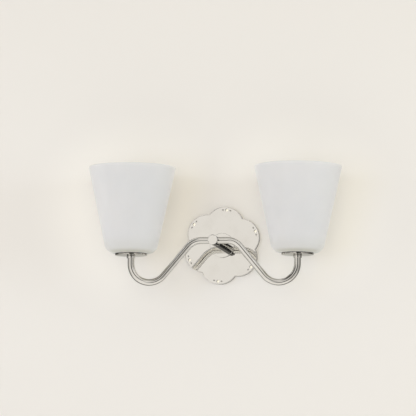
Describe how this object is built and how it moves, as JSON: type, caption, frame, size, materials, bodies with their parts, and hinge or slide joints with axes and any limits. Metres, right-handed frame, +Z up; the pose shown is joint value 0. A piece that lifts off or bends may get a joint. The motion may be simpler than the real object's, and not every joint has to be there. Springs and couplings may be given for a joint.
{
  "type": "wall sconce",
  "caption": "Wall sconce with a scalloped, pierced backplate, a round stem and swan-neck arms that carry upright tapered opal glass shades.",
  "frame": {"origin": "centre of the backplate's back face, on the stem's axis and in the wall's plane", "axes": "+Z up, +Y into the wall, -Y out to the room along the stem, +X to the right lamp as seen from the room"},
  "size_m": [0.4192, 0.1676, 0.1962],
  "materials": {
    "polished_nickel": "polished",
    "zinc_steel": "satin",
    "brass": "satin",
    "green_screw": "satin",
    "opal_glass": "satin",
    "rubber": "matte",
    "phenolic": "gloss",
    "lead_sleeve": "matte",
    "bulb_glass": "satin",
    "bulb_cap": "satin",
    "bulb_insulator": "gloss"
  },
  "bodies": {
    "fixture": {"backplate": "polished_nickel", "backplate_boss": "polished_nickel", "stem": "polished_nickel", "stem_front_cap": "polished_nickel", "stem_nipple": "zinc_steel", "stem_lock_washer": "zinc_steel", "stem_nut": "brass", "wall_bar": "zinc_steel", "grub_screws": "zinc_steel", "earth_screw": "green_screw", "arm_nipples": "zinc_steel", "lock_washers": "zinc_steel", "lock_nuts": "brass", "left_arm": "polished_nickel", "left_lead": "lead_sleeve", "left_arm_collar": "polished_nickel", "left_shade_seat": "polished_nickel", "left_seat_gasket": "rubber", "left_holder_base": "phenolic", "left_holder_body": "phenolic", "left_screw_shell": "brass", "left_centre_contact": "brass", "right_arm": "polished_nickel", "right_lead": "lead_sleeve", "right_arm_collar": "polished_nickel", "right_shade_seat": "polished_nickel", "right_seat_gasket": "rubber", "right_holder_base": "phenolic", "right_holder_body": "phenolic", "right_screw_shell": "brass", "right_centre_contact": "brass"},
    "left_shade": {"left_shade": "opal_glass"},
    "left_ring": {"left_shade_ring": "phenolic"},
    "left_bulb": {"left_bulb_glass": "bulb_glass", "left_bulb_cap": "bulb_cap", "left_bulb_insulator": "bulb_insulator", "left_bulb_contact": "bulb_cap"},
    "right_shade": {"right_shade": "opal_glass"},
    "right_ring": {"right_shade_ring": "phenolic"},
    "right_bulb": {"right_bulb_glass": "bulb_glass", "right_bulb_cap": "bulb_cap", "right_bulb_insulator": "bulb_insulator", "right_bulb_contact": "bulb_cap"}
  },
  "joints": [
    {"name": "left_shade_lift", "type": "slide", "parent": "fixture", "child": "left_shade", "axis": [0, 0, 1], "range_m": [0, 0.12]},
    {"name": "left_ring_lift", "type": "slide", "parent": "left_shade", "child": "left_ring", "axis": [0, 0, 1], "range_m": [0, 0.15]},
    {"name": "left_bulb_lift", "type": "slide", "parent": "fixture", "child": "left_bulb", "axis": [0, 0, 1], "range_m": [0, 0.13]},
    {"name": "right_shade_lift", "type": "slide", "parent": "fixture", "child": "right_shade", "axis": [0, 0, 1], "range_m": [0, 0.12]},
    {"name": "right_ring_lift", "type": "slide", "parent": "right_shade", "child": "right_ring", "axis": [0, 0, 1], "range_m": [0, 0.15]},
    {"name": "right_bulb_lift", "type": "slide", "parent": "fixture", "child": "right_bulb", "axis": [0, 0, 1], "range_m": [0, 0.13]}
  ]
}
